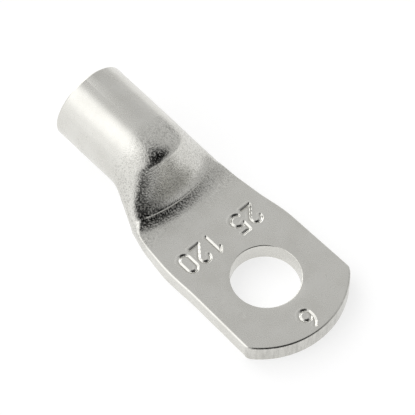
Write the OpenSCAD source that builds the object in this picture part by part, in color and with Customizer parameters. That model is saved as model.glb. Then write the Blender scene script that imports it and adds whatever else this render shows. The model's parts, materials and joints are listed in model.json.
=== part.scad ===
// Tinned copper cable lug: one length of tube, pressed flat at one end.
// Millimetres. +X runs from the barrel to the tip and +Z is up.
// The origin is the centre of the stud hole, on the face that seats on the terminal.

/* [Barrel] */
// Outside diameter of the tube
barrel_od = 8; // [7:0.1:10]
// Wall of the tube
tube_wall = 1; // [0.8:0.05:1.3]
// Length of the barrel that stays round
barrel_len = 7.2; // [5:0.1:14]
// Chamfer on both edges of the mouth
mouth_chamfer = 0.15; // [0.05:0.05:0.3]

/* [Transition] */
// Length over which the round tube turns flat
transition_len = 4.9; // [4:0.05:9]
// Share of the transition in which the top bends over into the nose
nose_bend = 0.34; // [0.2:0.02:0.6]
// How far the middle of the nose stands ahead of its sides, where it leaves the barrel
nose_bow = 2.8; // [0.5:0.05:3.2]
// How far the middle of the crease stands ahead of its ends
crease_bow = 1.1; // [0:0.05:1.5]
// Half the angle of the barrel's crown that spreads into the flat of the nose
crown_angle = 6; // [4:1:30]
// Half width at the crease
crease_half_w = 5.6; // [5:0.05:6.2]
// Length of the soft heel between the crease and the flat of the palm
heel_len = 1.45; // [0.8:0.05:2]
// Height of the heel at the crease, above the flat of the palm
heel_rise = 0.38; // [0.05:0.01:0.5]

/* [Palm] */
// Width of the palm at the stud hole
palm_w = 12.86; // [12:0.02:15]
// Half width that the palm gains in each millimetre towards the tip
palm_taper = 0.02; // [0:0.005:0.04]
// Length of the shoulders, from the crease to the full width
shoulder_len = 6.4; // [4:0.1:8]
// Distance from the crease to the centre of the stud hole
crease_to_hole = 12.15; // [10.5:0.05:16]
// Distance from the centre of the stud hole to the tip
hole_to_tip = 7.45; // [6.5:0.05:9]
// Radius of the rounded end
tip_r = 8.4; // [7.5:0.1:12]
// Radius of the two corners beside the rounded end
tip_corner_r = 0.8; // [0.4:0.1:1.2]
// Rounding of the side edges on the upper face
edge_top_r = 0.3; // [0.15:0.05:0.4]
// Rounding of the side edges on the seating face
edge_bottom_r = 0.65; // [0.3:0.05:0.8]

/* [Stud hole] */
// Diameter of the stud hole
hole_d = 6.6; // [5:0.1:8.4]
// Chamfer on both rims of the stud hole
hole_chamfer = 0.1; // [0.05:0.05:0.2]

/* [Hidden] */
tin_grey = [0.72, 0.72, 0.70];

barrel_r = barrel_od / 2;
bore_r = barrel_r - tube_wall;
palm_t = 2 * tube_wall;
crease_x = -crease_to_hole;
barrel_end_x = crease_x - transition_len;
mouth_x = barrel_end_x - barrel_len;
round_facets = 96;

// Points round a section: flats across the top and bottom, arcs at the sides.
flat_steps = 6;
arc_steps = 6;
transition_steps = 14;
heel_steps = 4;
shoulder_steps = 6;
corner_steps = 4;

// The skin of the pressed part starts this far inside the barrel, and this much smaller.
lap = 0.5;
skin_gap = 0.01;
// Half the height of the slit at which the hollow ends.
slit_half = 0.1;
// The hollow's nose stands back from the skin's, so that the steep face keeps its wall.
hollow_setback = 0.55 * tube_wall;
// Reach of a cutter past the face that it opens.
overcut = 1;

// The end face lies on a circle round this point.
tip_centre_x = hole_to_tip - tip_r;
tip_end_half_w = palm_w / 2 + palm_taper * hole_to_tip;
corner_angle = asin((tip_end_half_w - tip_corner_r) / (tip_r - tip_corner_r));
corner_x = tip_centre_x + (tip_r - tip_corner_r) * cos(corner_angle);

function mix(a, b, t) = a + (b - a) * t;
function smooth(t) = t <= 0 ? 0 : t >= 1 ? 1 : t * t * (3 - 2 * t);
// A parabola up to t = bend, then the straight line that leaves it at the same slope.
function bend_then_straight(t, bend) = t < bend ? t * t / (bend * (2 - bend)) : (2 * t - bend) / (2 - bend);

// Right half of a round section, from the bottom to the top, as [y, z].
// The flats' points share crown_angle on each side of the bottom and the top.
function round_half(r, centre_z) = let (side = 90 - crown_angle) [
    for (i = [0:flat_steps]) let (a = -90 + crown_angle * i / flat_steps)
        [r * cos(a), centre_z + r * sin(a)],
    for (i = [1:2 * arc_steps]) let (a = -side + side * i / arc_steps)
        [r * cos(a), centre_z + r * sin(a)],
    for (i = [1:flat_steps]) let (a = side + crown_angle * i / flat_steps)
        [r * cos(a), centre_z + r * sin(a)]
];

// Right half of a flattened section with rounded sides, from the bottom to the top.
function flat_half(half_w, bottom, top, r_bottom, r_top) = [
    for (i = [0:flat_steps]) [(half_w - r_bottom) * i / flat_steps, bottom],
    for (i = [1:arc_steps]) let (a = -90 + 90 * i / arc_steps)
        [half_w - r_bottom * (1 - cos(a)), bottom + r_bottom * (1 + sin(a))],
    for (i = [1:arc_steps]) let (a = 90 * i / arc_steps)
        [half_w - r_top * (1 - cos(a)), top - r_top * (1 - sin(a))],
    for (i = [1:flat_steps]) [(half_w - r_top) * (1 - i / flat_steps), top]
];

function blend(from, to, t) = [for (i = [0:len(from) - 1]) mix(from[i], to[i], t)];

// Full ring of 3-D points from a right half. bow moves the crown towards the tip.
function ring(x, half, bow) =
    let (
        count = len(half),
        half_w = max([for (p = half) p[0]]),
        low = half[0][1],
        high = half[count - 1][1],
        right = [for (p = half) [x + bow * (1 - pow(p[0] / half_w, 2)) * smooth((p[1] - low) / (high - low)), p[0], p[1]]],
        left = [for (i = [count - 2:-1:1]) [right[i][0], -right[i][1], right[i][2]]]
    )
    concat(right, left);

// Middle of a ring, for the fan that closes an end.
function ring_middle(r) = (r[0] + r[len(r) / 2]) / 2;

// Closed solid through a list of rings that all have the same number of points.
module loft(rings) {
    sides = len(rings[0]);
    last = len(rings) - 1;
    near_middle = (last + 1) * sides;
    far_middle = near_middle + 1;
    points = concat([for (r = rings) each r], [ring_middle(rings[0]), ring_middle(rings[last])]);
    wall_faces = [
        for (k = [0:last - 1], i = [0:sides - 1]) let (
            a = k * sides + i,
            b = k * sides + (i + 1) % sides
        ) each [[b, a, b + sides], [b + sides, a, a + sides]]
    ];
    near_cap = [for (i = [0:sides - 1]) [near_middle, i, (i + 1) % sides]];
    far_cap = [for (i = [0:sides - 1]) [far_middle, last * sides + (i + 1) % sides, last * sides + i]];
    polyhedron(points, concat(wall_faces, near_cap, far_cap));
}

// Sections where the transition ends, at the crease, for the skin and for the hollow.
function crease_half() = flat_half(crease_half_w, 0, palm_t + heel_rise, tube_wall, tube_wall);
function slit_half_section() =
    flat_half(crease_half_w - tube_wall, tube_wall - slit_half, tube_wall + slit_half, slit_half, slit_half);

// Rings of the turn from round to flat, for a tube of radius r whose nose stands back by setback.
function transition_rings(r, last_half, setback) = [
    for (i = [0:transition_steps]) let (t = i / transition_steps)
        ring(mix(barrel_end_x, crease_x, t),
             blend(round_half(r - skin_gap, barrel_r), last_half, bend_then_straight(t, nose_bend)),
             (mix(nose_bow, crease_bow, t) - setback) * smooth(t / nose_bend))
];

// Half width of the palm: shoulders that swell to the full width, then a slight taper.
function palm_half_w(x) =
    let (full = palm_w / 2 + palm_taper * x)
    mix(crease_half_w, full, smooth((x - crease_x) / shoulder_len));

// Soft heel: the flat of the palm rises a little to meet the foot of the nose.
function heel_rings() = [
    for (i = [1:heel_steps]) let (
        t = i / heel_steps,
        x = crease_x + heel_len * t,
        rise = heel_rise * (1 - t) * (1 - t),
        r_bottom = mix(tube_wall, edge_bottom_r, t),
        r_top = mix(tube_wall, edge_top_r, t)
    )
        ring(x, flat_half(palm_half_w(x), 0, palm_t + rise, r_bottom, r_top), crease_bow)
];

function palm_ring(x, half_w, bow) =
    ring(x, flat_half(half_w, 0, palm_t, edge_bottom_r, edge_top_r), bow);

// The rings of the shoulders lose the bow of the crease on their way to the full width.
function shoulder_rings() = [
    for (i = [1:shoulder_steps]) let (
        t = i / shoulder_steps,
        x = crease_x + mix(heel_len, shoulder_len, t)
    )
        palm_ring(x, palm_half_w(x), crease_bow * (1 - smooth(t)))
];

// The sides turn in round the two corners and pass just outside the rounded end.
function corner_rings() = [
    for (i = [0:corner_steps]) let (
        a = mix(90, corner_angle, i / corner_steps),
        x = corner_x + tip_corner_r * cos(a)
    )
        palm_ring(x, palm_half_w(corner_x) - tip_corner_r * (1 - sin(a)) + skin_gap, 0)
];

function end_ring() = let (half_w = palm_half_w(corner_x) - tip_corner_r * (1 - sin(corner_angle)) + skin_gap)
    palm_ring(hole_to_tip + overcut, half_w, 0);

// Straight round barrel with its mouth edge broken, solid until the bore is cut.
module barrel() {
    translate([mouth_x, 0, barrel_r])
        rotate([0, 90, 0])
            rotate_extrude($fn = round_facets)
                polygon([
                    [0, 0],
                    [barrel_r - mouth_chamfer, 0],
                    [barrel_r, mouth_chamfer],
                    [barrel_r, barrel_len],
                    [0, barrel_len]
                ]);
}

// Everything that the press shapes: nose, crease, shoulders and palm.
module pressed_body() {
    start = ring(barrel_end_x - lap, round_half(barrel_r - skin_gap, barrel_r), 0);
    loft(concat(
        [start],
        transition_rings(barrel_r, crease_half(), 0),
        heel_rings(),
        shoulder_rings(),
        corner_rings(),
        [end_ring()]
    ));
}

// The blanking die that shears the end to an arc.
module tip_die() {
    reach = tip_r + palm_w;
    difference() {
        translate([tip_centre_x, -reach, -overcut])
            cube([reach, 2 * reach, palm_t + 2 * overcut]);
        translate([tip_centre_x, 0, -2 * overcut])
            cylinder(h = palm_t + 4 * overcut, r = tip_r, $fn = round_facets);
    }
}

// True bore for the conductor, with the inner edge of the mouth broken.
module bore() {
    translate([mouth_x, 0, barrel_r])
        rotate([0, 90, 0]) {
            translate([0, 0, -overcut])
                cylinder(h = barrel_len + overcut, r = bore_r, $fn = round_facets);
            cylinder(h = mouth_chamfer, r1 = bore_r + mouth_chamfer, r2 = bore_r, $fn = round_facets);
        }
}

// Hollow inside the nose, closing to the slit where the two walls meet.
module throat() {
    start = ring(barrel_end_x - lap, round_half(bore_r - skin_gap, barrel_r), 0);
    loft(concat([start], transition_rings(bore_r, slit_half_section(), hollow_setback)));
}

// True hole for the stud, with both rims broken.
module stud_hole() {
    r = hole_d / 2;
    translate([0, 0, -overcut])
        cylinder(h = palm_t + 2 * overcut, r = r, $fn = round_facets);
    cylinder(h = hole_chamfer, r1 = r + hole_chamfer, r2 = r, $fn = round_facets);
    translate([0, 0, palm_t - hole_chamfer])
        cylinder(h = hole_chamfer, r1 = r, r2 = r + hole_chamfer, $fn = round_facets);
}

module cable_lug() {
    color(tin_grey)
        difference() {
            union() {
                barrel();
                difference() {
                    pressed_body();
                    tip_die();
                }
            }
            bore();
            throat();
            stud_hole();
        }
}

cable_lug();
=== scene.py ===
import json
import math

import bpy
from bpy.props import FloatProperty, FloatVectorProperty, PointerProperty, StringProperty
from mathutils import Matrix, Vector
from mathutils.geometry import delaunay_2d_cdt


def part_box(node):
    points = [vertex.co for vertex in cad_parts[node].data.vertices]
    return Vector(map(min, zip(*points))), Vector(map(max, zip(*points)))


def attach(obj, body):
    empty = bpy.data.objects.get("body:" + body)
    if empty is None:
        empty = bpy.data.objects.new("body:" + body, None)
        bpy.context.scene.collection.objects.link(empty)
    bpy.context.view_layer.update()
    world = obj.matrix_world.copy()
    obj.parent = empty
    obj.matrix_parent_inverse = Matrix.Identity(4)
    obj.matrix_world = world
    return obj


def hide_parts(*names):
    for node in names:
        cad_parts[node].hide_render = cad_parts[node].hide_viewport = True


bl_info = {
    "name": "Cable lug",
    "version": (1, 0, 0),
    "blender": (4, 5, 0),
    "location": "View3D > Sidebar > Cable lug",
    "description": "Builds a tinned cable lug, pressed flat at one end, on a pale studio floor",
    "category": "Add Mesh",
}

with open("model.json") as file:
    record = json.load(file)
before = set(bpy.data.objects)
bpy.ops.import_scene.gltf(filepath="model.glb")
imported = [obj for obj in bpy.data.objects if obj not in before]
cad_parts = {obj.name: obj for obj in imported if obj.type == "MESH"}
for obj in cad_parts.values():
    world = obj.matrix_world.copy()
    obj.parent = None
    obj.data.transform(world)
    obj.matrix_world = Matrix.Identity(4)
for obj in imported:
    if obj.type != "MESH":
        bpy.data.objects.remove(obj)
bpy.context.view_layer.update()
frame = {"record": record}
MOUNTS = {mount["name"]: mount for mount in frame["record"]["mounts"]}
MM = 0.001

# Driving sizes that the frame gives, in millimetres.
LOW, HIGH = ([side / MM for side in corner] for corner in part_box("cable_lug"))
BARREL_R = HIGH[2] / 2
BORE_R = MOUNTS["wire_barrel"]["dims"]["r_mm"]
STUD_R = MOUNTS["stud_hole"]["dims"]["r_mm"]
BARREL_LEN = MOUNTS["wire_barrel"]["dims"]["length_mm"]
MOUTH_X = LOW[0]
TIP_X = HIGH[0]
WALL = BARREL_R - BORE_R
PALM_T = 2 * WALL

# Half width of the palm at the middle of the stud hole, in millimetres.
PALM_HALF_W = 6.43

# How finely the skin is divided.
FLAT_STEPS = 26
ARC_STEPS = 16
TRANSITION_STEPS = 72
HEEL_STEPS = 16
SHOULDER_STEPS = 30
CORNER_STEPS = 12
TIP_STEPS = 60
HOLE_STEPS = 128
RIM_STEPS = 5
STROKE_STEPS = 20
COARSE_STEP = 0.8
FINE_STEP = 0.06

# The widest point of a section, counted along its right half.
SIDE = FLAT_STEPS + ARC_STEPS

# How far the loose points of a mark, and plain ones, keep from the edges of the palm, and how near
# two points have to be to count as one, in millimetres.
MARK_MARGIN = 0.05
PLAIN_MARGIN = 0.4
SAME_POINT = 1e-7

# Between edges that turn more than this the shading stays sharp.
SHARP_ANGLE = math.radians(28)

# How the press shaped the nose and the heel. Lengths are in millimetres.
BEND_POWER = 2.2  # curve of the bend at the top of the nose
SHOULDER_POWER = 1.5  # curve of the shoulders
HEEL_EASE = 1.6  # curve of the heel's fall
HEEL_POWER = 1.4  # crowding of the heel's rings towards the crease
HEEL_TOP_R = 0.2  # rounding of the heel's upper side edges
HEEL_BOTTOM_R = 0.85  # rounding of the heel's lower side edges
FOLD_FADE = 4.0  # length over which the heel's side edges turn into the palm's
HOLLOW_SETBACK = 0.55 * WALL  # how far the bow of the hollow stays behind the skin's
SLIT_GAP = 0.1  # half height of the slit in which the hollow ends

# The neck of the palm was pushed to one side. The push starts before the crease, ends beyond it,
# and comes and goes over these lengths.
NECK_START, NECK_RISE = 0.85, 3.5
NECK_END, NECK_FALL = 9.2, 4.5

# Where the line along the crease ends and over what it fades, as shares of the half width.
LINE_REACH, LINE_FADE = 0.88, 0.16


def length_property(name, description, millimetres):
    return FloatProperty(name=name, description=description, default=millimetres * MM,
                         unit="LENGTH", subtype="DISTANCE", precision=5)


def colour_property(name, description, colour):
    return FloatVectorProperty(name=name, description=description, default=colour, subtype="COLOR", size=3)


class LugSizes(bpy.types.PropertyGroup):
    """Sizes of the lug that the frame doesn't give."""
    transition_len: length_property("Transition", "Length over which the round tube turns flat", 4.9)
    nose_bow: length_property("Nose bow", "How far the middle of the nose stands ahead of its sides", 2.8)
    crease_bow: length_property("Crease bow", "How far the middle of the crease stands ahead of its ends", 1.1)
    crease_half_w: length_property("Crease half width", "Half width of the lug at the crease", 5.4)
    heel_len: length_property("Heel length", "Length of the soft heel beyond the crease", 1.45)
    heel_rise: length_property("Heel rise", "Height of the heel at the crease", 0.5)
    crease_line_w: length_property("Crease line width", "Width of the fine line along the crease", 0.07)
    crease_line_h: length_property("Crease line height", "Height of the fine line along the crease", 0.05)
    shoulder_len: length_property("Shoulders", "Distance from the crease to the full width", 8.0)
    neck_shift: length_property("Neck shift", "How far the neck of the palm was pushed to one side", 0.28)
    tip_r: length_property("Tip radius", "Radius of the rounded end", 8.4)
    tip_corner_r: length_property("Tip corners", "Radius of the corners beside the rounded end", 0.8)
    edge_top_r: length_property("Upper edge", "Rounding of the side edges on the upper face", 0.3)
    edge_bottom_r: length_property("Lower edge", "Rounding of the side edges on the seating face", 0.65)
    sheared_edge_r: length_property("Sheared edge", "Rounding of the upper edge of the sheared end", 0.2)
    rolled_edge_r: length_property("Rolled edge", "Rounding of the lower edge of the sheared end", 0.18)
    rim_r: length_property("Hole rim", "Rounding of the rims of the stud hole", 0.1)
    lip_r: length_property("Mouth lip", "Rounding of both edges of the mouth", 0.15)
    nose_bend: FloatProperty(name="Nose bend", default=0.34, min=0.1, max=0.9,
                             description="Share of the transition in which the top bends over")
    nose_foot: FloatProperty(name="Nose foot", default=0.27, min=0.01, max=0.5,
                             description="Share of the transition in which the nose eases out")
    foot_slope: FloatProperty(name="Foot slope", default=0.3, min=0.0, max=1.0,
                              description="Slope that the foot keeps, as a share of the face's")
    flank_lag: FloatProperty(name="Flank lag", default=1.35, min=1.0, max=3.0,
                             description="How much later the flat widens than the top falls")
    crown_angle: FloatProperty(name="Crown angle", default=math.radians(6), subtype="ANGLE",
                               description="Half angle of the crown that spreads into the flat")
    palm_taper: FloatProperty(name="Palm taper", default=0.02,
                              description="Half width gained for each unit towards the tip")


class StampSizes(bpy.types.PropertyGroup):
    """The plain numbers pressed into the palm."""
    heel_digits: StringProperty(name="Heel digits", default="25 120",
                                description="Digits between the crease and the hole")
    tip_digits: StringProperty(name="Tip digits", default="6",
                               description="Digits between the hole and the tip")
    heel_place: FloatVectorProperty(name="Heel place", description="Middle of the digits by the heel", size=2,
                                    default=(-5.75 * MM, -0.35 * MM), subtype="XYZ", unit="LENGTH", precision=5)
    tip_place: FloatVectorProperty(name="Tip place", description="Middle of the digits by the tip", size=2,
                                   default=(5.9 * MM, -0.2 * MM), subtype="XYZ", unit="LENGTH", precision=5)
    height: length_property("Height", "Height of a digit", 2.0)
    pitch: length_property("Pitch", "Distance from one digit to the next", 1.6)
    stroke: length_property("Stroke", "Width of a digit's stroke", 0.36)
    depth: length_property("Depth", "Depth of a stroke", 0.14)


class TinFinish(bpy.types.PropertyGroup):
    """The look of the tin plating."""
    base: colour_property("Tin", "Colour of clean tin", (0.72, 0.712, 0.675))
    dull: colour_property("Dull tin", "Colour of tin that has dulled", (0.65, 0.64, 0.60))
    pit: colour_property("Pits", "Colour of the pits in worked tin", (0.30, 0.295, 0.275))
    roughness: FloatProperty(name="Roughness", description="Roughness of the plating", default=0.27,
                             min=0.0, max=1.0)
    grain: length_property("Grain", "Size of the plating's grain", 0.17)
    relief: length_property("Relief", "Height of the grain where the tube was bent", 0.022)


class StudioSettings(bpy.types.PropertyGroup):
    """Floor and camera."""
    floor: colour_property("Floor", "Colour of the floor", (0.42, 0.42, 0.42))
    floor_glow: FloatProperty(name="Floor glow", default=0.72,
                              description="Light that comes up through the floor")
    camera_azimuth: FloatProperty(name="Azimuth", description="Direction of the camera from +X towards +Y",
                                  default=math.radians(-44.15), subtype="ANGLE")
    camera_elevation: FloatProperty(name="Elevation", description="Height of the camera above the floor",
                                    default=math.radians(57.8), subtype="ANGLE")
    camera_roll: FloatProperty(name="Roll", description="Turn of the camera about its own axis",
                               default=math.radians(1.69), subtype="ANGLE")
    camera_distance: length_property("Distance", "Distance from the camera to what it looks at", 405.0)
    lens: FloatProperty(name="Lens", description="Focal length of the camera", default=380.0, unit="CAMERA")


def mix(a, b, t):
    return a + (b - a) * t


def smooth(t):
    t = min(max(t, 0.0), 1.0)
    return t * t * (3 - 2 * t)


def bend_then_straight(t, bend):
    """A parabola up to t = bend, then the straight line that leaves it at the same slope."""
    return t * t / (bend * (2 - bend)) if t < bend else (2 * t - bend) / (2 - bend)


def nose_profile(t, bend, foot, foot_slope):
    """Fall of the nose: a bend, a straight face, and a foot that eases to foot_slope of the face's slope."""
    slope = 1 / (1 - bend * (1 - 1 / BEND_POWER) - foot * (1 - foot_slope) / 2)
    if t < bend:
        return slope * bend / BEND_POWER * (t / bend) ** BEND_POWER
    left = 1 - t
    if left > foot:
        return slope * (t - bend * (1 - 1 / BEND_POWER))
    return 1 - slope * left * (foot_slope + (1 - foot_slope) * left / (2 * foot))


# Sizes that aren't lengths.
UNSCALED = ("nose_bend", "nose_foot", "foot_slope", "flank_lag", "crown_angle", "palm_taper")


class LugShape:
    """Every station of the lug's skin, in millimetres, worked out from the sizes."""

    def __init__(self, sizes):
        for name in sizes.__annotations__:
            value = getattr(sizes, name)
            scaled = name not in UNSCALED
            setattr(self, name, value / MM if scaled else value)
        self.barrel_end_x = MOUTH_X + BARREL_LEN
        self.crease_x = self.barrel_end_x + self.transition_len
        self.heel_end_x = self.crease_x + self.heel_len
        self.tip_centre_x = TIP_X - self.tip_r
        end_half_w = PALM_HALF_W + self.palm_taper * TIP_X
        self.corner_angle = math.asin((end_half_w - self.tip_corner_r) / (self.tip_r - self.tip_corner_r))
        self.corner_x = self.tip_centre_x + (self.tip_r - self.tip_corner_r) * math.cos(self.corner_angle)

    def palm_half_w(self, x):
        """Half width of the palm, from the crease over the shoulders to the tip."""
        full = PALM_HALF_W + self.palm_taper * x
        left = min(max(1 - (x - self.crease_x) / self.shoulder_len, 0.0), 1.0)
        return mix(full, self.crease_half_w, left ** SHOULDER_POWER)

    def middle_y(self, x):
        """How far the press pushed the neck of the palm to one side."""
        beyond = x - self.crease_x
        coming = smooth((beyond + NECK_START) / NECK_RISE)
        going = smooth((NECK_END - beyond) / NECK_FALL)
        return -self.neck_shift * coming * going

    def on_palm(self, p, margin):
        """Whether a point lies on the flat of the palm, at least margin from its edges and the stud hole."""
        off_middle = p.y - self.middle_y(p.x)
        beside = abs(off_middle) > self.palm_half_w(p.x) - self.edge_top_r - margin
        beyond = (p - Vector((self.tip_centre_x, 0))).length > self.tip_r - self.sheared_edge_r - margin
        bow = self.crease_bow * (1 - (off_middle / self.palm_half_w(p.x)) ** 2)
        behind = p.x < self.heel_end_x + bow + margin
        return not (beside or beyond or behind or p.length < STUD_R + self.rim_r + margin)

    def round_half(self, r):
        """Right half of a round section, from the bottom to the top, as (y, z)."""
        side = math.pi / 2 - self.crown_angle
        angles = [-math.pi / 2 + self.crown_angle * i / FLAT_STEPS for i in range(FLAT_STEPS + 1)]
        angles += [-side + side * i / ARC_STEPS for i in range(1, 2 * ARC_STEPS + 1)]
        angles += [side + self.crown_angle * i / FLAT_STEPS for i in range(1, FLAT_STEPS + 1)]
        return [(r * math.cos(a), BARREL_R + r * math.sin(a)) for a in angles]

    def side_profile(self, r_bottom, r_top, bottom, top):
        """Rounded side of a flattened section, as (inset from the side, z), from the bottom to the top."""
        lower = [i * math.pi / 2 / ARC_STEPS for i in range(ARC_STEPS + 1)]
        upper = lower[1:]
        profile = [(r_bottom * (1 - math.sin(a)), bottom + r_bottom * (1 - math.cos(a))) for a in lower]
        profile += [(r_top * (1 - math.cos(a)), top - r_top * (1 - math.sin(a))) for a in upper]
        return profile

    def flat_half(self, half_w, bottom, top, r_bottom, r_top):
        """Right half of a flattened section with rounded sides, from the bottom to the top."""
        side = [(half_w - inset, z) for inset, z in self.side_profile(r_bottom, r_top, bottom, top)]
        lower = [(side[0][0] * i / FLAT_STEPS, bottom) for i in range(FLAT_STEPS)]
        upper = [(side[-1][0] * (1 - i / FLAT_STEPS), top) for i in range(1, FLAT_STEPS + 1)]
        return lower + side + upper

    def ring(self, x, half, bow=0.0):
        """Full ring of points from a right half. bow moves the crown towards the tip."""
        half_w = max(y for y, _ in half)
        low, high = half[0][1], half[-1][1]
        middle = self.middle_y(x)
        right = [
            (x + bow * (1 - (y / half_w) ** 2) * smooth((z - low) / (high - low)), y + middle, z)
            for y, z in half
        ]
        left = [(px, 2 * middle - y, z) for px, y, z in right[-2:0:-1]]
        return right + left

    def crease_half(self):
        """Right half of the section at the crease."""
        return self.flat_half(self.crease_half_w, 0.0, PALM_T + self.heel_rise, WALL, WALL)

    def slit_half(self):
        """Right half of the slit in which the hollow ends."""
        return self.flat_half(self.crease_half_w - WALL, WALL - SLIT_GAP, WALL + SLIT_GAP, SLIT_GAP, SLIT_GAP)

    def transition(self, r, last_half, setback=0.0):
        """Rings of the turn from round to flat, for a tube of radius r. setback holds the bow back."""
        first_half = self.round_half(r)
        lags = [smooth((i - SIDE) / ARC_STEPS) for i in range(len(first_half))]
        rings = []
        for i in range(1, TRANSITION_STEPS + 1):
            t = i / TRANSITION_STEPS
            spread = bend_then_straight(t, self.nose_bend)
            fall = nose_profile(t, self.nose_bend, self.nose_foot, self.foot_slope)
            half = [(mix(a[0], b[0], mix(spread, spread ** self.flank_lag, lag)),
                     mix(a[1], b[1], mix(spread, fall, lag)))
                    for a, b, lag in zip(first_half, last_half, lags)]
            bow = (mix(self.nose_bow, self.crease_bow, t) - setback) * smooth(t / self.nose_bend)
            rings.append(self.ring(mix(self.barrel_end_x, self.crease_x, t), half, bow))
        return rings

    def raise_crease(self, rings):
        """Turn the last rings of the nose up into the fine line along the crease."""
        crease = rings[-1]
        for ring in rings:
            for i, (x, y, z) in enumerate(ring):
                near = 1 - (crease[i][0] - x) / self.crease_line_w
                if near > 0 and z > PALM_T:
                    taper = smooth((LINE_REACH - abs(y) / self.crease_half_w) / LINE_FADE)
                    ring[i] = (x, y, z + self.crease_line_h * near * taper)

    def heel(self):
        """Rings of the soft step down from the crease to the palm."""
        rings = []
        for i in range(1, HEEL_STEPS + 1):
            t = (i / HEEL_STEPS) ** HEEL_POWER
            x = self.crease_x + self.heel_len * t
            top = PALM_T + self.heel_rise * (1 - t) ** HEEL_EASE
            half = self.flat_half(self.palm_half_w(x), 0.0, top,
                                  mix(WALL, HEEL_BOTTOM_R, t), mix(HEEL_TOP_R, WALL, (1 - t) ** 2))
            rings.append(self.ring(x, half, self.crease_bow))
        return rings

    def lip(self):
        """Rounded mouth, from the bore to the outside of the barrel, as (x, radius)."""
        turns = [i * math.pi / 2 / RIM_STEPS for i in range(RIM_STEPS + 1)]
        r = self.lip_r
        inner = [(MOUTH_X + r * (1 - math.sin(a)), BORE_R + r * (1 - math.cos(a))) for a in turns]
        outer = [(MOUTH_X + r * (1 - math.cos(a)), BARREL_R - r * (1 - math.sin(a))) for a in turns]
        return inner + outer

    def plan_path(self):
        """Outline of the palm from one end of the heel round the tip to the other, as
        (point, outward normal, lower edge radius, upper edge radius)."""
        path = []
        for i in range(1, SHOULDER_STEPS + 1):
            x = mix(self.heel_end_x, self.corner_x, i / SHOULDER_STEPS)
            t = smooth((x - self.heel_end_x) / FOLD_FADE)
            path.append((Vector((x, self.palm_half_w(x) + self.middle_y(x))), Vector((0.0, 1.0)),
                         mix(HEEL_BOTTOM_R, self.edge_bottom_r, t), mix(HEEL_TOP_R, self.edge_top_r, t)))
        corner_y = self.palm_half_w(self.corner_x) - self.tip_corner_r
        for i in range(1, CORNER_STEPS + 1):
            t = i / CORNER_STEPS
            a = mix(math.pi / 2, self.corner_angle, t)
            out = Vector((math.cos(a), math.sin(a)))
            path.append((Vector((self.corner_x, corner_y)) + out * self.tip_corner_r, out,
                         mix(self.edge_bottom_r, self.rolled_edge_r, smooth(t)),
                         mix(self.edge_top_r, self.sheared_edge_r, smooth(t))))
        for i in range(1, TIP_STEPS // 2 + 1):
            a = self.corner_angle * (1 - 2 * i / TIP_STEPS)
            out = Vector((math.cos(a), math.sin(a)))
            path.append((Vector((self.tip_centre_x, 0.0)) + out * self.tip_r, out,
                         self.rolled_edge_r, self.sheared_edge_r))
        mirrored = [(Vector((p.x, 2 * self.middle_y(p.x) - p.y)), Vector((n.x, -n.y)), low, high)
                    for p, n, low, high in path[-2::-1]]
        return path + mirrored


# Strokes of the digits on a grid 1.6 units wide and three high: lines between two points, and arcs
# with a centre, a radius, and the first and last angle in degrees.
DIGITS = {
    "0": [("arc", (0.8, 2.2), 0.8, 0, 180), ("arc", (0.8, 0.8), 0.8, 180, 360),
          ("line", (0, 2.2), (0, 0.8)), ("line", (1.6, 2.2), (1.6, 0.8))],
    "1": [("line", (0.9, 0), (0.9, 3)), ("line", (0.9, 3), (0.35, 2.4))],
    "2": [("arc", (0.8, 2.2), 0.8, 170, -35), ("line", (1.45, 1.74), (0, 0)), ("line", (0, 0), (1.6, 0))],
    "5": [("line", (1.5, 3), (0.2, 3)), ("line", (0.2, 3), (0.1, 1.7)), ("arc", (0.7, 0.95), 0.95, 128, -140)],
    "6": [("arc", (0.8, 0.85), 0.85, 0, 360), ("arc", (2.1, 1.1), 2.15, 187, 128)],
}
DIGIT_GRID = Vector((1.6, 3.0))


def digit_segments(digit):
    """Straight segments of one digit, on the digit's grid."""
    segments = []
    for stroke in DIGITS.get(digit, ()):
        if stroke[0] == "line":
            segments.append((Vector(stroke[1]), Vector(stroke[2])))
            continue
        centre, r, first, last = stroke[1:]
        turns = [math.radians(mix(first, last, i / STROKE_STEPS)) for i in range(STROKE_STEPS + 1)]
        points = [Vector(centre) + r * Vector((math.cos(a), math.sin(a))) for a in turns]
        segments += list(zip(points, points[1:]))
    return segments


class Mark:
    """Something pressed into the palm, inside the rectangle from low to high."""

    def grid(self, step):
        """Points over the rectangle, a step apart."""
        columns = int((self.high.x - self.low.x) / step)
        rows = int((self.high.y - self.low.y) / step)
        return [self.low + Vector((i * step, j * step)) for i in range(columns + 1) for j in range(rows + 1)]

    def covers(self, p):
        """Whether a point lies inside the rectangle."""
        return self.low.x <= p.x <= self.high.x and self.low.y <= p.y <= self.high.y


# The groove of a stroke, across which lengths are counted in half strokes: how soft its bottom is,
# where the swelling beside it stands, and how high that is as a share of the depth.
GROOVE_SOFTNESS = 0.02
SWELL_PLACE = 1.35
SWELL_HEIGHT = 0.1


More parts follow.
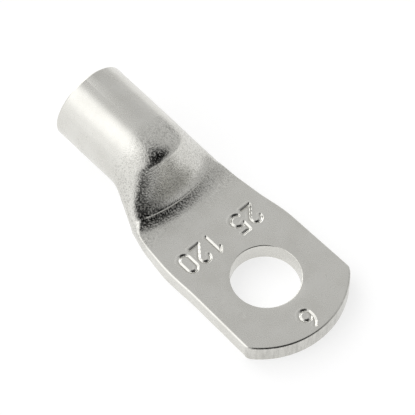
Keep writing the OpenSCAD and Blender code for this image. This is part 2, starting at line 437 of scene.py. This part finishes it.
class Stamp(Mark):
    """Digits pressed into the palm, in a line from its left to its right. Their tops face the tip."""

    def __init__(self, text, centre, sizes):
        self.stroke, self.depth = sizes.stroke / MM, sizes.depth / MM
        scale = sizes.height / MM / DIGIT_GRID.y
        along, up = Vector((0.0, -1.0)), Vector((1.0, 0.0))
        self.segments = []
        for i, digit in enumerate(text):
            middle = centre + along * sizes.pitch / MM * (i - (len(text) - 1) / 2)
            for ends in digit_segments(digit):
                offsets = [(p - DIGIT_GRID / 2) * scale for p in ends]
                self.segments.append(tuple(middle + along * p.x + up * p.y for p in offsets))
        points = [p for segment in self.segments for p in segment]
        margin = 2 * self.stroke
        self.low = Vector((min(p.x for p in points) - margin, min(p.y for p in points) - margin))
        self.high = Vector((max(p.x for p in points) + margin, max(p.y for p in points) + margin))

    def distance(self, p):
        """Distance from the nearest stroke's middle."""
        nearest = math.inf
        for a, b in self.segments:
            run = b - a
            t = min(max((p - a).dot(run) / run.length_squared, 0.0), 1.0)
            nearest = min(nearest, (p - a - run * t).length)
        return nearest

    def drop(self, p):
        """How far the face lies below the flat of the palm: a groove with a faint swelling beside it."""
        d = self.distance(p) / (self.stroke / 2)
        groove = self.depth * max(0.0, 1 - math.sqrt(d * d + GROOVE_SOFTNESS))
        swell = SWELL_HEIGHT * self.depth * smooth(1 - abs(d - SWELL_PLACE))
        return groove - swell


# Knocks in the palm: centre, radius and depth, in millimetres.
KNOCKS = (
    ((1.59, -4.49), 0.42, 0.016),
    ((2.71, 2.68), 0.30, 0.012),
    ((-9.06, 1.33), 0.20, 0.012),
    ((-0.80, -4.76), 0.32, 0.010),
)
# The raised rim round a knock: its width and the reach of the whole knock in radii, and its height
# as a share of the depth.
RIM_WIDTH = 0.3
KNOCK_REACH = 1.3
RIM_HEIGHT = 0.2


class Knock(Mark):
    """A small round dent in the palm."""

    def __init__(self, centre, r, depth):
        self.centre, self.r, self.depth = Vector(centre), r, depth
        self.low, self.high = (self.centre + Vector((side * r, side * r)) * KNOCK_REACH for side in (-1, 1))

    def drop(self, p):
        """How far the face lies below the flat of the palm: a dent with a faint rim."""
        t = (p - self.centre).length / self.r
        return self.depth * (smooth(1 - t) - RIM_HEIGHT * smooth(1 - abs(t - 1.0) / RIM_WIDTH))


class Skin:
    """Vertices and faces of a mesh in the making, in millimetres."""

    def __init__(self):
        self.points = []
        self.faces = []

    def row(self, points):
        """Add points, and return their indices."""
        start = len(self.points)
        self.points += [tuple(p) for p in points]
        return list(range(start, len(self.points)))

    def bridge(self, near, far, closed=True):
        """Quads between two rows of the same count."""
        count = len(near)
        for i in range(count if closed else count - 1):
            j = (i + 1) % count
            self.faces.append((near[i], near[j], far[j], far[i]))

    def cap(self, row, middle):
        """Triangles from a ring to its middle."""
        centre = self.row([middle])[0]
        for i in range(len(row)):
            self.faces.append((centre, row[(i + 1) % len(row)], row[i]))

    def fill(self, outline, holes, z, up, extra, height=None):
        """Triangles over a flat outline with holes. extra are loose points inside; height lifts them."""
        loops = [outline] + holes
        known = [i for loop in loops for i in loop]
        flat = [Vector(self.points[i][:2]) for i in known] + extra
        edges, start = [], 0
        for loop in loops:
            edges += [(start + i, start + (i + 1) % len(loop)) for i in range(len(loop))]
            start += len(loop)
        found, _, triangles, origin, _, _ = delaunay_2d_cdt(flat, edges, [], 0, SAME_POINT)
        index = []
        for point, sources in zip(found, origin):
            first = min(sources) if sources else len(known)
            if first < len(known):
                index.append(known[first])
            else:
                lift = height(point) if height else 0.0
                index += self.row([(point.x, point.y, z + lift)])
        polygons = [[Vector(self.points[i][:2]) for i in loop] for loop in loops]
        for triangle in triangles:
            middle = sum((found[i] for i in triangle), Vector((0, 0))) / 3
            if not inside(middle, polygons[0]) or any(inside(middle, hole) for hole in polygons[1:]):
                continue
            corners = [index[i] for i in triangle]
            self.faces.append(tuple(corners if up else corners[::-1]))

    def mesh(self, name):
        mesh = bpy.data.meshes.new(name)
        mesh.from_pydata([Vector(p) * MM for p in self.points], [], self.faces)
        mesh.validate()
        return mesh


def inside(p, polygon):
    """Whether a point lies inside a polygon, by counting the sides to its right."""
    crossed = False
    for a, b in zip(polygon, polygon[1:] + polygon[:1]):
        if (a.y > p.y) != (b.y > p.y) and p.x < a.x + (b.x - a.x) * (p.y - a.y) / (b.y - a.y):
            crossed = not crossed
    return crossed


def tube_and_nose(skin, shape):
    """The hollow, the mouth, the barrel, the nose and the heel, as one chain of rings."""
    hollow = shape.transition(BORE_R, shape.slit_half(), HOLLOW_SETBACK)[::-1]
    hollow.append(shape.ring(shape.barrel_end_x, shape.round_half(BORE_R)))
    mouth = [shape.ring(x, shape.round_half(r)) for x, r in shape.lip()]
    barrel = [shape.ring(shape.barrel_end_x, shape.round_half(BARREL_R))]
    nose = shape.transition(BARREL_R, shape.crease_half())
    shape.raise_crease(nose)
    outside = nose + shape.heel()
    rows = [skin.row(ring) for ring in hollow + mouth + barrel + outside]
    for near, far in zip(rows, rows[1:]):
        skin.bridge(near, far)
    slit = hollow[0]
    skin.cap(rows[0], (Vector(slit[0]) + Vector(slit[len(slit) // 2])) / 2)
    return rows[-1]


def palm_edge(skin, shape, last_ring):
    """The rounded sides and the sheared end of the palm. Returns the rows from side to side."""
    first = last_ring[FLAT_STEPS:FLAT_STEPS + 2 * ARC_STEPS + 1]
    count = len(last_ring)
    last = [last_ring[(count - i) % count] for i in range(FLAT_STEPS, FLAT_STEPS + 2 * ARC_STEPS + 1)]
    rows = [first]
    for point, out, r_bottom, r_top in shape.plan_path():
        profile = shape.side_profile(r_bottom, r_top, 0.0, PALM_T)
        rows.append(skin.row([(*(point - out * inset), z) for inset, z in profile]))
    rows.append(last)
    for near, far in zip(rows, rows[1:]):
        skin.bridge(near, far, closed=False)
    return rows


def stud_hole(skin, shape):
    """Wall and rounded rims of the stud hole. Returns its lower and upper rim."""
    turns = [i * math.pi / 2 / RIM_STEPS for i in range(RIM_STEPS + 1)]
    r = shape.rim_r
    profile = [(STUD_R + r * (1 - math.sin(a)), r * (1 - math.cos(a))) for a in turns]
    profile += [(STUD_R + r * (1 - math.cos(a)), PALM_T - r * (1 - math.sin(a))) for a in turns]
    around = [2 * math.pi * i / HOLE_STEPS for i in range(HOLE_STEPS)]
    rows = [skin.row([(radius * math.cos(a), radius * math.sin(a), z) for a in around])
            for radius, z in profile]
    for low, high in zip(rows, rows[1:]):
        skin.bridge(high, low)
    return rows[0], rows[-1]


def palm_faces(skin, shape, last_ring, edge_rows, rims, marks):
    """The seating face, and the upper face with what is pressed into it."""
    count = len(last_ring)
    top_start = FLAT_STEPS + 2 * ARC_STEPS
    across_top = last_ring[top_start + 1:count - top_start]
    across_bottom = last_ring[count - FLAT_STEPS + 1:] + last_ring[:FLAT_STEPS]
    top_loop = [row[-1] for row in edge_rows] + across_top[::-1]
    bottom_loop = [row[0] for row in edge_rows] + across_bottom
    steps_x = int((TIP_X - shape.heel_end_x) / COARSE_STEP)
    steps_y = int(2 * PALM_HALF_W / COARSE_STEP)
    grid = [Vector((shape.heel_end_x + COARSE_STEP * (i + 0.5), COARSE_STEP * (j - steps_y / 2)))
            for i in range(steps_x + 1) for j in range(steps_y + 1)]
    kept = [p for p in grid if shape.on_palm(p, PLAIN_MARGIN)]
    dense = [p for mark in marks for p in mark.grid(FINE_STEP) if shape.on_palm(p, MARK_MARGIN)]
    loose = [p for p in kept if not any(mark.covers(p) for mark in marks)]

    def height(p):
        return -sum(mark.drop(p) for mark in marks if mark.covers(p))

    skin.fill(top_loop, [rims[1]], PALM_T, True, loose + dense, height)
    skin.fill(bottom_loop, [rims[0]], 0.0, False, kept)


class Socket:
    """A shader value that can be used in Python expressions."""

    def __init__(self, board, link):
        self.board, self.link = board, link

    def _math(self, operation, *values):
        return self.board.node("ShaderNodeMath", {"operation": operation}, dict(enumerate(values)))

    def __add__(self, other):
        return self._math("ADD", self, other)

    def __sub__(self, other):
        return self._math("SUBTRACT", self, other)

    def __mul__(self, other):
        return self._math("MULTIPLY", self, other)

    def __rsub__(self, other):
        return self._math("SUBTRACT", other, self)

    __radd__ = __add__
    __rmul__ = __mul__


class Board:
    """A node tree that is being wired."""

    def __init__(self, tree):
        self.tree = tree
        tree.nodes.clear()

    def node(self, kind, settings=None, inputs=None, output=0):
        """Add a node: its settings first, then the values or links of its sockets."""
        node = self.tree.nodes.new(kind)
        for name, value in (settings or {}).items():
            if name == "stops":
                self._stops(node.color_ramp, value)
            else:
                setattr(node, name, value)
        for key, value in (inputs or {}).items():
            if isinstance(value, Socket):
                self.tree.links.new(value.link, node.inputs[key])
            else:
                node.inputs[key].default_value = value
        return Socket(self, node.outputs[output]) if len(node.outputs) else node

    @staticmethod
    def _stops(ramp, stops):
        while len(ramp.elements) < len(stops):
            ramp.elements.new(1.0)
        for element, (position, value) in zip(ramp.elements, stops):
            element.position = position
            element.color = (value, value, value, 1.0)

    def vector(self, operation, *values, output=0):
        """Vector Math. Lengths and dot products come out of output 1."""
        return self.node("ShaderNodeVectorMath", {"operation": operation}, dict(enumerate(values)), output)

    def blend(self, share, first, second):
        """Colour between two colours, each of them a link or red, green and blue."""
        first, second = (each if isinstance(each, Socket) else (*each, 1.0) for each in (first, second))
        return self.node("ShaderNodeMix", {"data_type": "RGBA"}, {"Factor": share, 6: first, 7: second},
                         output=2)

    def noise(self, where, size, detail, roughness):
        """Noise whose cells are about size millimetres across."""
        return self.node("ShaderNodeTexNoise", {}, {
            "Vector": where, "Scale": 1.0 / (size * MM), "Detail": detail, "Roughness": roughness})

    def step(self, value, start, end):
        """Smooth step from 0 at start to 1 at end."""
        return self.node("ShaderNodeMapRange", {"interpolation_type": "SMOOTHSTEP"}, {
            "Value": value, "From Min": start, "From Max": end, "To Min": 0.0, "To Max": 1.0})

    def ramp(self, value, stops):
        """Grey ramp, whose stops are pairs of a place and a level."""
        return self.node("ShaderNodeValToRGB", {"stops": stops}, {"Fac": value})


# Noises in the tin, as cell size in millimetres, detail and roughness.
CLOUDS = (2.4, 3.0, 0.55)
SPECKS = (0.35, 4.0, 0.7)
STREAKS = (0.3, 3.0, 0.6)
GRAIN_DETAIL, GRAIN_ROUGHNESS = 2.0, 0.6

# Stops of the ramps that turn noise into masks.
DULL_STOPS = ((0.38, 0.0), (0.72, 1.0))
FLECK_STOPS = ((0.38, 1.0), (0.50, 0.0))
GLINT_STOPS = ((0.53, 0.0), (0.60, 1.0))
STREAK_STOPS = ((0.42, 0.0), (0.66, 1.0))

# Where the tin was worked, in millimetres from the ends of the barrel and the heel, and where the
# sheared end begins, in millimetres from the tip's radius.
WORKED_FROM = (-0.4, 2.0)
WORKED_TO = (2.0, 0.2)
SHEARED_FROM = (-0.22, -0.08)

# Shares: of the specks in the dull tin, of pits in each mask, and of each mask in roughness and relief.
DULL_SPECKS = 0.2
FLECK_PITS, SHEARED_PITS, STREAK_PITS = 0.5, 0.12, 0.3
CLOUD_HAZE, SPECK_HAZE, GLINT_HAZE, WORKED_SHEEN = 0.06, 0.08, 0.3, 0.07
PLAIN_RELIEF, SPECK_RELIEF = 0.05, 0.04

# Scales of the coordinates: for distances seen from above, and for streaks that stand upright.
IN_PLAN = (1.0, 1.0, 0.0)
UPRIGHT = (1.0, 1.0, 0.12)


def tin_material(finish, shape):
    """Satin tin: fine grain, soft unevenness, a pitted and coarser skin where the tube was bent."""
    material = bpy.data.materials.new("satin_tin")
    material.use_nodes = True
    board = Board(material.node_tree)
    where = board.node("ShaderNodeTexCoord", output="Object")
    along = board.node("ShaderNodeSeparateXYZ", {}, {0: where})

    def across(value, start, offsets):
        return board.step(value, *((start + offset) * MM for offset in offsets))

    grain = board.noise(where, finish.grain / MM, GRAIN_DETAIL, GRAIN_ROUGHNESS)
    cloud = board.noise(where, *CLOUDS)
    specks = board.noise(where, *SPECKS)
    worked = across(along, shape.barrel_end_x, WORKED_FROM) * across(along, shape.heel_end_x, WORKED_TO)
    flecks = board.ramp(grain, FLECK_STOPS) * worked
    glints = board.ramp(grain, GLINT_STOPS) * worked

    from_tip_centre = board.vector("SUBTRACT", where, (shape.tip_centre_x * MM, 0.0, 0.0))
    radius = board.vector("LENGTH", board.vector("MULTIPLY", from_tip_centre, IN_PLAN), output=1)
    sheared = across(radius, shape.tip_r, SHEARED_FROM) * board.step(along, 0.0, shape.tip_r / 2 * MM)
    streaks = board.ramp(board.noise(board.vector("MULTIPLY", where, UPRIGHT), *STREAKS), STREAK_STOPS)

    dullness = board.ramp(cloud * (1 - DULL_SPECKS) + specks * DULL_SPECKS, DULL_STOPS)
    pits = flecks * FLECK_PITS + sheared * (SHEARED_PITS + streaks * STREAK_PITS)
    colour = board.blend(pits, board.blend(dullness, finish.base, finish.dull), finish.pit)
    roughness = (finish.roughness + (cloud - 0.5) * CLOUD_HAZE + (specks - 0.5) * SPECK_HAZE
                 - worked * WORKED_SHEEN + glints * GLINT_HAZE)
    relief = grain * (PLAIN_RELIEF + worked * (1 - PLAIN_RELIEF)) + specks * SPECK_RELIEF
    bump = board.node("ShaderNodeBump", {}, {"Height": relief, "Distance": finish.relief, "Strength": 1.0})
    shader = board.node("ShaderNodeBsdfPrincipled", {}, {
        "Base Color": colour, "Metallic": 1.0, "Roughness": roughness, "Normal": bump})
    board.node("ShaderNodeOutputMaterial", {}, {"Surface": shader})
    return material


class LUG_OT_build(bpy.types.Operator):
    """Build the lug's skin with its stamped digits and give it the tin finish"""
    bl_idname = "lug.build"
    bl_label = "Build lug"

    def execute(self, context):
        scene = context.scene
        shape = LugShape(scene.lug_sizes)
        stamps = scene.lug_stamps
        marks = [Stamp(digits, Vector(place) / MM, stamps) for digits, place in (
            (stamps.heel_digits, stamps.heel_place), (stamps.tip_digits, stamps.tip_place))]
        marks += [Knock(*knock) for knock in KNOCKS]
        skin = Skin()
        last_ring = tube_and_nose(skin, shape)
        edge_rows = palm_edge(skin, shape, last_ring)
        rims = stud_hole(skin, shape)
        palm_faces(skin, shape, last_ring, edge_rows, rims, marks)
        lug = bpy.data.objects.new("tinned_lug", skin.mesh("tinned_lug"))
        scene.collection.objects.link(lug)
        lug.data.shade_smooth()
        lug.data.set_sharp_from_angle(angle=SHARP_ANGLE)
        soften = lug.modifiers.new("weighted_normals", "WEIGHTED_NORMAL")
        soften.keep_sharp = True
        lug.data.materials.append(tin_material(scene.lug_finish, shape))
        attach(lug, "root")
        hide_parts("cable_lug")
        return {"FINISHED"}


# What the camera looks at, on the lug.
LOOK_AT = Vector((-9.485, 1.535, 1.0)) * MM

# Brightness of the surround, and its lobes: direction, inner and outer half angle in degrees,
# brightness.
SURROUND_LEVEL = 0.64
SURROUND_LOBES = (
    ((-0.15, -0.95, 0.10), 25, 55, 1.15),
    ((-0.38, -0.55, 0.74), 10, 32, 1.55),
    ((0.60, -0.06, 0.80), 27, 38, 0.0),
    ((0.87, -0.46, 0.18), 26, 38, 0.04),
    ((-0.90, 0.05, 0.42), 14, 32, 2.6),
)

# The floor, in metres: half its width, the radius in which it curves up, the steps of that curve,
# and how far it lies below the lug.
FLOOR_HALF, FLOOR_RISE, FLOOR_STEPS, FLOOR_GAP = 0.6, 0.25, 12, 0.00002

# The floor dims over this stretch, in metres from the middle, on one side of the lug only. The
# cosines are those of the angles between which the dimming comes in.
DIM_REACH = (0.036, 0.090)
DIM_TOWARDS = Vector((0.94, 0.34, 0.0))
DIM_SPREAD = (math.cos(math.radians(115)), math.cos(math.radians(70)))
FULL_GLOW, DIM_GLOW = (1.0,) * 3, (0.16,) * 3
DIM_FLOOR = (0.36,) * 3


def aimed(location, target, roll):
    """Matrix of a camera at a place, looking at a target."""
    facing = (Vector(target) - Vector(location)).to_track_quat("-Z", "Y")
    return Matrix.Translation(location) @ facing.to_matrix().to_4x4() @ Matrix.Rotation(roll, 4, "Z")


def studio_world(scene):
    """A soft even surround with brighter and darker lobes, which the tin reflects."""
    world = bpy.data.worlds.new("soft_surround")
    world.use_nodes = True
    board = Board(world.node_tree)
    direction = board.node("ShaderNodeTexCoord", output="Generated")
    level = SURROUND_LEVEL
    for towards, inner, outer, lobe_level in SURROUND_LOBES:
        facing = board.vector("DOT_PRODUCT", direction, Vector(towards).normalized(), output=1)
        share = board.step(facing, math.cos(math.radians(outer)), math.cos(math.radians(inner)))
        level = level + share * (lobe_level - level)
    background = board.node("ShaderNodeBackground", {}, {"Color": (1.0, 1.0, 1.0, 1.0), "Strength": level})
    board.node("ShaderNodeOutputWorld", {}, {"Surface": background})
    scene.world = world


def floor_material(settings, turn):
    """Pale floor that glows softly and dims on one side. turn is the angle at which the floor lies."""
    material = bpy.data.materials.new("pale_floor")
    material.use_nodes = True
    board = Board(material.node_tree)
    where = board.node("ShaderNodeTexCoord", output="Object")
    away = board.vector("LENGTH", where, output=1)
    dim_side = DIM_TOWARDS @ Matrix.Rotation(turn, 3, "Z")
    facing = board.vector("DOT_PRODUCT", board.vector("NORMALIZE", where), dim_side, output=1)
    dim = board.step(away, *DIM_REACH) * board.step(facing, *DIM_SPREAD)
    shader = board.node("ShaderNodeBsdfPrincipled", {}, {
        "Base Color": board.blend(dim, settings.floor, DIM_FLOOR), "Roughness": 0.9, "Specular IOR Level": 0.0,
        "Emission Color": board.blend(dim, FULL_GLOW, DIM_GLOW), "Emission Strength": settings.floor_glow})
    board.node("ShaderNodeOutputMaterial", {}, {"Surface": shader})
    return material


def studio_floor(scene):
    """A wide floor that curves up far behind, so that no edge shows."""
    quarter = [i * math.pi / 2 / FLOOR_STEPS for i in range(1, FLOOR_STEPS + 1)]
    profile = [(-FLOOR_HALF, 0.0), (FLOOR_HALF, 0.0)]
    profile += [(FLOOR_HALF + FLOOR_RISE * math.sin(a), FLOOR_RISE * (1 - math.cos(a))) for a in quarter]
    points = [(side * FLOOR_HALF, y, z) for y, z in profile for side in (-1, 1)]
    faces = [(2 * i, 2 * i + 1, 2 * i + 3, 2 * i + 2) for i in range(len(profile) - 1)]
    mesh = bpy.data.meshes.new("floor")
    mesh.from_pydata(points, [], faces)
    mesh.shade_smooth()
    turn = scene.lug_studio.camera_azimuth + math.pi / 2
    mesh.materials.append(floor_material(scene.lug_studio, turn))
    floor = bpy.data.objects.new("floor", mesh)
    floor.location = (LOOK_AT.x, LOOK_AT.y, LOW[2] * MM - FLOOR_GAP)
    floor.rotation_euler.z = turn
    scene.collection.objects.link(floor)


class LUG_OT_stage(bpy.types.Operator):
    """Set up the pale floor, the soft light and the camera"""
    bl_idname = "lug.stage"
    bl_label = "Set the stage"

    def execute(self, context):
        scene = context.scene
        settings = scene.lug_studio
        scene.view_settings.view_transform = "Standard"
        studio_world(scene)
        studio_floor(scene)
        flat = math.cos(settings.camera_elevation)
        away = Vector((flat * math.cos(settings.camera_azimuth), flat * math.sin(settings.camera_azimuth),
                       math.sin(settings.camera_elevation)))
        data = bpy.data.cameras.new("camera")
        data.lens = settings.lens
        data.clip_end = 10.0
        camera = bpy.data.objects.new("camera", data)
        camera.matrix_world = aimed(LOOK_AT + away * settings.camera_distance, LOOK_AT, settings.camera_roll)
        scene.collection.objects.link(camera)
        scene.camera = camera
        return {"FINISHED"}


class LUG_PT_sidebar(bpy.types.Panel):
    """Sizes, finish and stage of the lug, with the operators that build them"""
    bl_idname = "LUG_PT_sidebar"
    bl_label = "Cable lug"
    bl_space_type = "VIEW_3D"
    bl_region_type = "UI"
    bl_category = "Cable lug"

    def draw(self, context):
        layout = self.layout
        groups = ((LUG_OT_build, ("lug_sizes", "lug_stamps", "lug_finish")), (LUG_OT_stage, ("lug_studio",)))
        for operator, names in groups:
            for name in names:
                settings = getattr(context.scene, name)
                for prop in settings.__annotations__:
                    layout.prop(settings, prop)
            layout.operator(operator.bl_idname)


SETTINGS = {
    "lug_sizes": LugSizes,
    "lug_stamps": StampSizes,
    "lug_finish": TinFinish,
    "lug_studio": StudioSettings,
}
CLASSES = (*SETTINGS.values(), LUG_OT_build, LUG_OT_stage, LUG_PT_sidebar)


def register():
    for each in CLASSES:
        bpy.utils.register_class(each)
    for name, group in SETTINGS.items():
        setattr(bpy.types.Scene, name, PointerProperty(type=group))


def unregister():
    for name in SETTINGS:
        delattr(bpy.types.Scene, name)
    for each in reversed(CLASSES):
        bpy.utils.unregister_class(each)


def main():
    register()
    bpy.ops.lug.build()
    bpy.ops.lug.stage()


if __name__ == "__main__":
    main()
